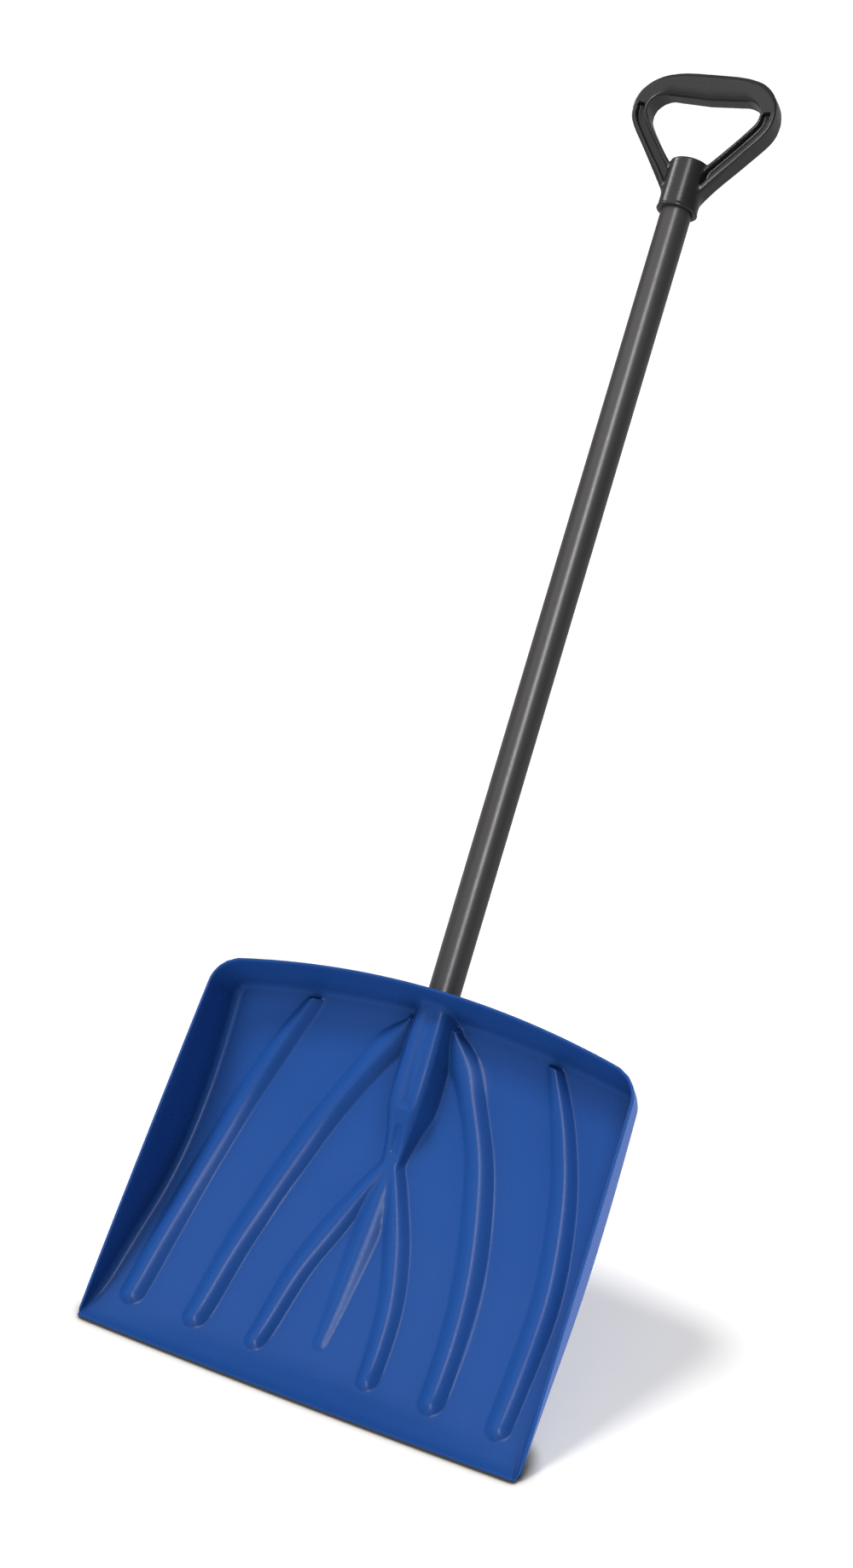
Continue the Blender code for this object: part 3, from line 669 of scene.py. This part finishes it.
# ---------------------------------------------------------------- shaft
shaft_profile = [(SHAFT_R - SHAFT_WALL, SHAFT_FROM), (SHAFT_R - SHAFT_CHAMFER, SHAFT_FROM),
                 (SHAFT_R, SHAFT_FROM + SHAFT_CHAMFER), (SHAFT_R, SHAFT_TO - SHAFT_CHAMFER),
                 (SHAFT_R - SHAFT_CHAMFER, SHAFT_TO), (SHAFT_R - SHAFT_WALL, SHAFT_TO)]
verts, faces = revolve(shaft_profile, 96, SHAFT_Y)
sleeve = add_mesh("shaft_skin", place(verts), faces, SLEEVE, "sleeve_resin")
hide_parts("shaft_sleeve")
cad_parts["shaft_core"].data.materials.clear()
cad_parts["shaft_core"].data.materials.append(STEEL)


# ---------------------------------------------------------------- D-grip, drawn as a distance field
PATH_POINTS = 150                  # along half of the D's centre line


def nearest_on_path(x, z):
    """For points of the D's plane: how far outside its centre line, and how far along it.

    Also gives GRIP_PATH with each row's own place along the line in front.
    """
    lengths = [0.0]
    for near, far in zip(GRIP_PATH, GRIP_PATH[1:]):
        lengths.append(lengths[-1] + math.hypot(far[0] - near[0], far[1] - near[1]))
    rows = [(lengths[k], *GRIP_PATH[k]) for k in range(len(GRIP_PATH))]
    t = np.linspace(0.0, lengths[-1], PATH_POINTS)
    line = np.stack([curve(rows, t, 1), curve(rows, t, 2)], axis=1)
    side = np.abs(x)
    best = np.full(side.shape, 1e9)
    offset = np.zeros(side.shape)
    at = np.zeros(side.shape)
    for k in range(len(line) - 1):
        span = line[k + 1] - line[k]
        size = np.hypot(*span)
        u = ((side - line[k, 0]) * span[0] + (z - line[k, 1]) * span[1]) / size ** 2
        u = np.clip(u, 0.0, 1.0)
        dx = side - line[k, 0] - u * span[0]
        dz = z - line[k, 1] - u * span[1]
        distance = dx * dx + dz * dz
        closer = distance < best
        outside = (dx * span[1] - dz * span[0]) / size
        best = np.where(closer, distance, best)
        offset = np.where(closer, np.where(outside >= 0, 1.0, -1.0) * np.sqrt(distance), offset)
        at = np.where(closer, t[k] + u * (t[k + 1] - t[k]), at)
    return offset, at, rows


def rounded_corner(a, b, corner):
    """Distance to where a and b are both below zero, with a rounded edge between their faces."""
    qa = a + corner
    qb = b + corner
    inside = np.minimum(np.maximum(qa, qb), 0.0)
    return np.hypot(np.maximum(qa, 0.0), np.maximum(qb, 0.0)) + inside - corner


def rounded_box(a, b, half_a, half_b, corner):
    """Distance to a rectangle with rounded corners, at the origin of a and b."""
    return rounded_corner(np.abs(a) - half_a, np.abs(b) - half_b, corner)


def smooth_min(a, b, blend):
    """The smaller of two values, with a soft change from one to the other."""
    return -smooth_max(-a, -b, blend)


ARM_WIDTH = 0.0160                 # width of the D's arms; where it is wider, the bar starts
BAR_GAIN = 0.0100                  # and the bar is in full shape when it is this much wider
OUTER_CORNER = (0.0024, 0.0110)    # radius outside the D, on the arms and on the bar
INNER_CORNER = (0.0014, 0.0038)    # the same inside the D
COLLAR_CORNER = 0.0012
COLLAR_BEAD = 0.0007               # height of the bead round the collar's lower rim
COLLAR_BEAD_HALF = 0.0016          # half width of that bead
COLLAR_BLEND = 0.0030              # where the D grows out of the collar
BORE_PAST = 0.0003                 # the bore ends this much above the shaft
BORE_EDGE = 0.0005                 # softening of the bore's edges
CHANNEL_HALF = 0.0042
CHANNEL_IN = 0.0009                # the channel sits this much nearer the inside of the D
CHANNEL_DEPTH = 0.0075
CHANNEL_END = 0.0020               # radius of the channel's corners at its upper end
CHANNEL_TOP = 6                    # row of GRIP_PATH at which the channel ends,
CHANNEL_STOP = 0.0030              # less this much
CHANNEL_BLEND = 0.0016             # softening of the channel's bottom
CHANNEL_EDGE = 0.0006              # and of its upper edges
BAR_CROWN = 0.0034                 # the bar's front and back fall away this much to its edges
BAR_CROWN_SET = 0.0005             # its crown sits this much outside the centre line


def grip_field(x, y, z):
    """Signed distance to the grip; x and z share a shape that y broadcasts with."""
    offset, at, rows = nearest_on_path(x, z)
    width = curve(rows, at, 3)
    depth = curve(rows, at, 4)
    bar = np.clip((width - ARM_WIDTH) / BAR_GAIN, 0.0, 1.0)
    outer = OUTER_CORNER[0] + (OUTER_CORNER[1] - OUTER_CORNER[0]) * bar
    inner = INNER_CORNER[0] + (INNER_CORNER[1] - INNER_CORNER[0]) * bar
    corner = np.where(offset > 0, outer, inner)
    back = y - SHAFT_Y - GRIP_SET
    crown = BAR_CROWN * bar * np.clip(2.0 * (offset - BAR_CROWN_SET) / width, -1.0, 1.0) ** 2
    body = rounded_box(offset, np.abs(back) + crown, width / 2, depth / 2, corner)
    past = np.maximum(at - rows[CHANNEL_TOP][0] + CHANNEL_STOP, 0.0)
    aside = np.maximum(np.abs(offset + CHANNEL_IN) - CHANNEL_HALF + CHANNEL_END, 0.0)
    slot = np.hypot(aside, past) - CHANNEL_END
    floor = depth / 2 - CHANNEL_DEPTH - np.abs(back)
    channel = smooth_max(slot, floor, CHANNEL_BLEND)
    body = smooth_max(body, -channel, CHANNEL_EDGE)
    radius = np.hypot(x, y - SHAFT_Y)
    from_bead = (z - GRIP_FROM - COLLAR_BEAD_HALF) / COLLAR_BEAD_HALF
    bead = COLLAR_BEAD * np.exp(-from_bead ** 2)
    side = radius - COLLAR_R - bead
    ends = np.maximum(z - COLLAR_TO, GRIP_FROM - z)
    collar = rounded_corner(side, ends, COLLAR_CORNER)
    whole = smooth_min(body, collar, COLLAR_BLEND)
    bore = np.maximum(radius - BORE_R, z - SHAFT_TO - BORE_PAST)
    return smooth_max(whole, -bore, BORE_EDGE)


DRAW_ROUNDS = 3                    # times that the net's points are drawn onto the surface
DRAW_SHARE = 0.9                   # of the way to it, each time
LEAST_SLOPE = 0.2                  # keeps a step short where the field is nearly flat


def surface_net(field, low, high, step):
    """Closed mesh of a field's zero level: one vertex per crossed cell, then drawn onto the level."""
    axes = [np.arange(low[k], high[k] + step, step) for k in range(3)]
    flat_x, flat_z = np.meshgrid(axes[0], axes[2], indexing="ij")
    values = field(flat_x[:, None, :], axes[1][None, :, None], flat_z[:, None, :])
    shape = np.array(values.shape) - 1
    total = np.zeros((*shape, 3))
    hits = np.zeros(shape)
    quads = []
    around = ((0, 0), (1, 0), (1, 1), (0, 1))
    for axis in range(3):
        a, b = [k for k in range(3) if k != axis]
        first = np.moveaxis(values, axis, 0)[:-1]
        second = np.moveaxis(values, axis, 0)[1:]
        crossed = np.moveaxis((first < 0) != (second < 0), 0, axis)
        cells = np.argwhere(crossed)
        keep = (cells[:, a] > 0) & (cells[:, b] > 0)
        keep = keep & (cells[:, a] < shape[a]) & (cells[:, b] < shape[b])
        cells = cells[keep]
        ahead = cells.copy()
        ahead[:, axis] += 1
        v0 = values[tuple(cells.T)]
        v1 = values[tuple(ahead.T)]
        point = cells.astype(float)
        point[:, axis] += v0 / (v0 - v1)
        four = []
        for da, db in around:
            cell = cells.copy()
            cell[:, a] -= da
            cell[:, b] -= db
            np.add.at(total, tuple(cell.T), point)
            np.add.at(hits, tuple(cell.T), 1)
            four.append(np.ravel_multi_index(tuple(cell.T), tuple(shape)))
        quad = np.stack(four, axis=1)
        flip = (v0 < 0) == (axis == 1)
        quad[flip] = quad[flip][:, ::-1]
        quads.append(quad)
    quads = np.concatenate(quads)
    used, renumbered = np.unique(quads, return_inverse=True)
    points = total.reshape(-1, 3)[used] / hits.reshape(-1)[used, None]
    points = points * step + np.array(low)
    for _ in range(DRAW_ROUNDS):
        here = field(*points.T)
        nudge = step * 0.1
        slope = [field(*(points + nudge * np.eye(3)[k]).T) - here for k in range(3)]
        slope = np.stack(slope, axis=1) / nudge
        size = np.maximum((slope ** 2).sum(axis=1, keepdims=True), LEAST_SLOPE)
        points = points - np.clip(here[:, None], -step, step) * slope / size * DRAW_SHARE
    return points, renumbered.reshape(quads.shape)


GRIP_STEP = 0.0008
GRIP_LOW = (-0.080, SHAFT_Y - 0.0245, 1.180)
GRIP_HIGH = (0.080, SHAFT_Y + 0.0245, 1.3370)
verts, faces = surface_net(grip_field, GRIP_LOW, GRIP_HIGH, GRIP_STEP)
grip = add_mesh("d_grip", place(verts), faces, BLACK, "grip_plastic", 50.0)
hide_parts("grip")


# ---------------------------------------------------------------- screws
HEAD_POINTS = 33                   # along each side of the grid that makes a screw's head


def screw(name, cad_node, height, face_y):
    """Pan-head screw with a cross recess, seated from the back."""
    seat = face_y + SCREW_SEAT
    size = HEAD_POINTS
    span = np.linspace(-1.0, 1.0, size)
    u, v = np.meshgrid(span, span, indexing="ij")
    square = np.maximum(np.abs(u), np.abs(v))
    circle = np.hypot(u, v)
    shrink = np.where(circle > 0, square / np.maximum(circle, 1e-9), 1.0)
    x = u * shrink * SCREW_HEAD_R
    z = v * shrink * SCREW_HEAD_R
    r = np.hypot(x, z) / SCREW_HEAD_R
    dome = SCREW_HEAD_H * (HEAD_EDGE + (1.0 - HEAD_EDGE) * np.sqrt(np.maximum(1.0 - r ** 3, 0.0)))
    arm = np.minimum(np.abs(x), np.abs(z)) - RECESS_HALF
    reach = np.maximum(np.abs(x), np.abs(z)) - RECESS_REACH
    cross = np.clip(-np.maximum(arm, reach) / RECESS_SLOPE, 0.0, 1.0)
    top = np.stack([x, seat + dome - RECESS_DEPTH * cross, height + z], axis=-1)
    index = np.arange(size * size).reshape(size, size)
    ring = np.concatenate([index[:-1, 0], index[-1, :-1], index[:0:-1, -1], index[0, :0:-1]])
    rim = top.reshape(-1, 3)[ring]
    offset = rim - np.array([0.0, 0.0, height])
    rings = [ring]
    verts = [top.reshape(-1, 3)]
    number = size * size
    shank = SCREW_R / SCREW_HEAD_R
    for share, depth in ((1.0, 0.0), (shank, 0.0), (shank, -SHANK_LENGTH),
                         (shank * TIP_SHARE, -SHANK_TIP)):
        layer = offset * np.array([share, 0.0, share]) + np.array([0.0, seat + depth, height])
        verts.append(layer)
        rings.append(number + np.arange(len(ring)))
        number += len(ring)
    rings = np.array(rings)
    rings = np.concatenate([rings, rings[:, :1]], axis=1)
    verts = np.concatenate(verts)
    faces = [tuple(f) for f in grid_faces(index)] + [tuple(f) for f in grid_faces(rings)]
    faces.append(tuple(rings[-1, :-1]))
    made = add_mesh(name, place(verts), faces, ZINC, "screw_zinc", 40.0)
    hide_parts(cad_node)


screw("screw_upper", "blade_screw_upper", BLADE_SCREWS[0], SHAFT_Y + SOCKET_SET + SOCKET_R)
screw("screw_lower", "blade_screw_lower", BLADE_SCREWS[1], SHAFT_Y + SOCKET_SET + SOCKET_R)
screw("screw_grip", "grip_screw", GRIP_SCREW, SHAFT_Y + COLLAR_R)

# ---------------------------------------------------------------- floor
FLOOR_HALF = 30
# what the camera sees of the paper: white in the light, and a warm glow that softens the shadow
PAPER_COLOURS = {"Base Color": (0.93, 0.92, 0.895), "Emission Color": (0.37, 0.36, 0.345)}
floor_corners = [(FLOOR_HALF * x, FLOOR_HALF * y, 0) for x, y in ((-1, -1), (1, -1), (1, 1), (-1, 1))]
floor_mesh = bpy.data.meshes.new("floor")
floor_mesh.from_pydata(floor_corners, [], [(0, 1, 2, 3)])
floor = bpy.data.objects.new("floor", floor_mesh)
bpy.context.scene.collection.objects.link(floor)
paper = bpy.data.materials.new("white paper")
paper.use_nodes = True
paper_shader = paper.node_tree.nodes["Principled BSDF"]
paper_shader.inputs["Roughness"].default_value = 0.9
paper_shader.inputs["Specular IOR Level"].default_value = 0.0
# painted contact shadow: a thin dark line on the paper where the scoop touches the floor, from ambient
# occlusion
contact_ao = node(paper.node_tree, "ShaderNodeAmbientOcclusion", samples=8, Distance=0.018)
painted_contact_shadow = node(paper.node_tree, "ShaderNodeMapRange")
painted_contact_shadow.inputs["From Min"].default_value = 0.50
painted_contact_shadow.inputs["From Max"].default_value = 0.95
painted_contact_shadow.inputs["To Min"].default_value = 0.10
paper.node_tree.links.new(contact_ao.outputs["AO"], painted_contact_shadow.inputs["Value"])
# the painted contact shadow darkens both the paper's colour and its glow
for input_name, warm_white in PAPER_COLOURS.items():
    tint = node(paper.node_tree, "ShaderNodeVectorMath", operation="SCALE")
    tint.inputs[0].default_value = warm_white
    paper.node_tree.links.new(painted_contact_shadow.outputs["Result"], tint.inputs["Scale"])
    paper.node_tree.links.new(tint.outputs["Vector"], paper_shader.inputs[input_name])
paper_shader.inputs["Emission Strength"].default_value = 1.0
floor_mesh.materials.append(paper)
floor.visible_glossy = False
floor.visible_diffuse = False

# ---------------------------------------------------------------- camera and light
CAMERA_AT = (0.8263, -1.2860, 1.3445)
CAMERA_RIGHT = (0.8811, 0.4728, 0.0031)    # the picture's direction to the right
CAMERA_AHEAD = (-0.4238, 0.7926, -0.4383)  # the way that the camera looks
CAMERA_LENS = 50.925               # in mm, on a sensor of
SENSOR = 36.0
SOFTBOX_AWAY = 3.0                 # from what it lights

scene = bpy.context.scene
camera_data = bpy.data.cameras.new("camera")
camera_data.lens = CAMERA_LENS
camera_data.sensor_width = SENSOR
camera_data.sensor_fit = "AUTO"
camera = bpy.data.objects.new("camera", camera_data)
scene.collection.objects.link(camera)
right = Vector(CAMERA_RIGHT)
ahead = Vector(CAMERA_AHEAD).normalized()
up = right.cross(ahead).normalized()
right = ahead.cross(up).normalized()
look = Matrix((right, up, -ahead)).transposed().to_4x4()
look.translation = Vector(CAMERA_AT)
camera.matrix_world = look
scene.camera = camera


def aim(light_object, towards):
    """Turn a light so that it shines from the direction towards."""
    light_object.rotation_euler = Vector(towards).to_track_quat("Z", "Y").to_euler()


def far_light(name, towards, strength, angle, shadow=True):
    """Distant soft light for shade only; the softboxes below make the gloss."""
    data = bpy.data.lights.new(name, "SUN")
    data.energy = strength
    data.angle = angle
    data.use_shadow = shadow
    made = bpy.data.objects.new(name, data)
    scene.collection.objects.link(made)
    made.visible_glossy = False
    aim(made, towards)
    return made


def softbox(name, towards, width, height, power, middle=(0.0, 0.25, 0.25)):
    """Softbox for gloss only, some metres from a place on the shovel."""
    data = bpy.data.lights.new(name, "AREA")
    data.shape = "RECTANGLE"
    data.size = width
    data.size_y = height
    data.energy = power
    made = bpy.data.objects.new(name, data)
    scene.collection.objects.link(made)
    made.visible_diffuse = False
    made.location = Vector(middle) + Vector(towards).normalized() * SOFTBOX_AWAY
    aim(made, towards)
    return made


# the scoop alone casts a shadow on the floor, and alone gets the light from its right
scoop_only = bpy.data.collections.new("scoop only")
scoop_only.objects.link(blade)
key = far_light("key", (-0.40, 0.0, 0.915), 1.62, 0.24)
key.light_linking.blocker_collection = scoop_only
far_light("front", (0.0, -0.90, 0.43), 1.45, 0.60, False)
side = far_light("side", (0.75, 0.65, 0.06), 4.6, 0.10)
side.light_linking.receiver_collection = scoop_only
softbox("strip", (0.278, -0.625, 0.73), 0.40, 2.3, 46.0, (0.0, 0.50, 0.56))
softbox("front_gloss", (-0.42, -0.60, 0.68), 2.0, 2.0, 3.0)
softbox("top_gloss", (-0.42, -0.08, 0.90), 3.0, 3.0, 16.0)
grip_only = bpy.data.collections.new("grip only")
grip_only.objects.link(grip)
grip_left = softbox("grip_left", (-0.87, 0.04, 0.49), 0.40, 1.0, 14.0, (0.0, 0.80, 0.95))
grip_left.light_linking.receiver_collection = grip_only

# the room: brighter from below than from above, and white where the camera sees it
world = bpy.data.worlds.new("studio")
scene.world = world
world.use_nodes = True
world.node_tree.nodes["Background"].inputs["Color"].default_value = (1.0, 1.0, 1.0, 1.0)
direction = node(world.node_tree, "ShaderNodeTexCoord")
height = node(world.node_tree, "ShaderNodeSeparateXYZ")
glow = node(world.node_tree, "ShaderNodeMapRange")
glow.inputs["From Min"].default_value = -0.05
glow.inputs["From Max"].default_value = 0.05
glow.inputs["To Min"].default_value = 0.40
glow.inputs["To Max"].default_value = 0.12
world.node_tree.links.new(direction.outputs["Generated"], height.inputs["Vector"])
world.node_tree.links.new(height.outputs["Z"], glow.inputs["Value"])
rays = node(world.node_tree, "ShaderNodeLightPath")
seen = node(world.node_tree, "ShaderNodeMix", data_type="FLOAT")
seen.inputs["B"].default_value = 1.0
world.node_tree.links.new(rays.outputs["Is Camera Ray"], seen.inputs["Factor"])
world.node_tree.links.new(glow.outputs["Result"], seen.inputs["A"])
world.node_tree.links.new(seen.outputs["Result"], world.node_tree.nodes["Background"].inputs["Strength"])
scene.view_settings.view_transform = "Standard"
